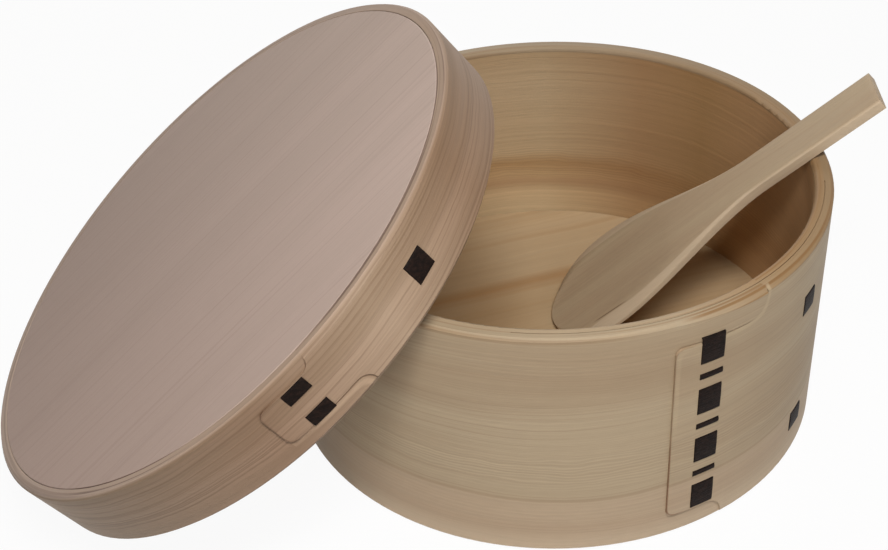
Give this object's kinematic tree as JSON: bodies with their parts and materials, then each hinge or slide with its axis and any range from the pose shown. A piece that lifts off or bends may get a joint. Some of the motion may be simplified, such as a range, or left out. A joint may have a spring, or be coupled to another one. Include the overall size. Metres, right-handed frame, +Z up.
{
  "type": "bentwood rice box",
  "caption": "Round bentwood rice box: a lapped, bark-sewn tub with a loose lid leaning on its rim and a wooden rice paddle standing inside.",
  "frame": {"origin": "middle of the tub's foot, in the plane that the tub stands on", "axes": "+Z up, -X towards the side on which the lid leans, +X roughly towards the paddle's handle"},
  "size_m": [0.3271, 0.2148, 0.1475],
  "materials": {
    "tub_wood": "bare planed softwood with fine grain running round the wall",
    "bottom_wood": "bare planed softwood with a darker heartwood band",
    "lid_wood": "bare planed softwood with fine grain running round the hoop",
    "lid_board_wood": "bare planed softwood with fine straight grain",
    "paddle_wood": "bare sanded hardwood, grain along the handle",
    "bark": "dark cherry bark, slightly glossy"
  },
  "bodies": {
    "tub": {"tub_wall": "tub_wood", "tub_bottom": "bottom_wood", "tub_seam_lace": "bark", "tub_end_stitch_upper": "bark", "tub_end_stitch_lower": "bark"},
    "lid": {"lid_hoop": "lid_wood", "lid_board": "lid_board_wood", "lid_seam_lace": "bark", "lid_end_stitch": "bark"},
    "paddle": {"rice_paddle": "paddle_wood"}
  },
  "joints": [
    {"name": "lid_lift", "type": "slide", "parent": "tub", "child": "lid", "axis": [-0.5934, 0, 0.8049], "range_m": [0, 0.12]},
    {"name": "paddle_lift", "type": "slide", "parent": "tub", "child": "paddle", "axis": [0, 0, 1], "range_m": [0, 0.12]}
  ]
}
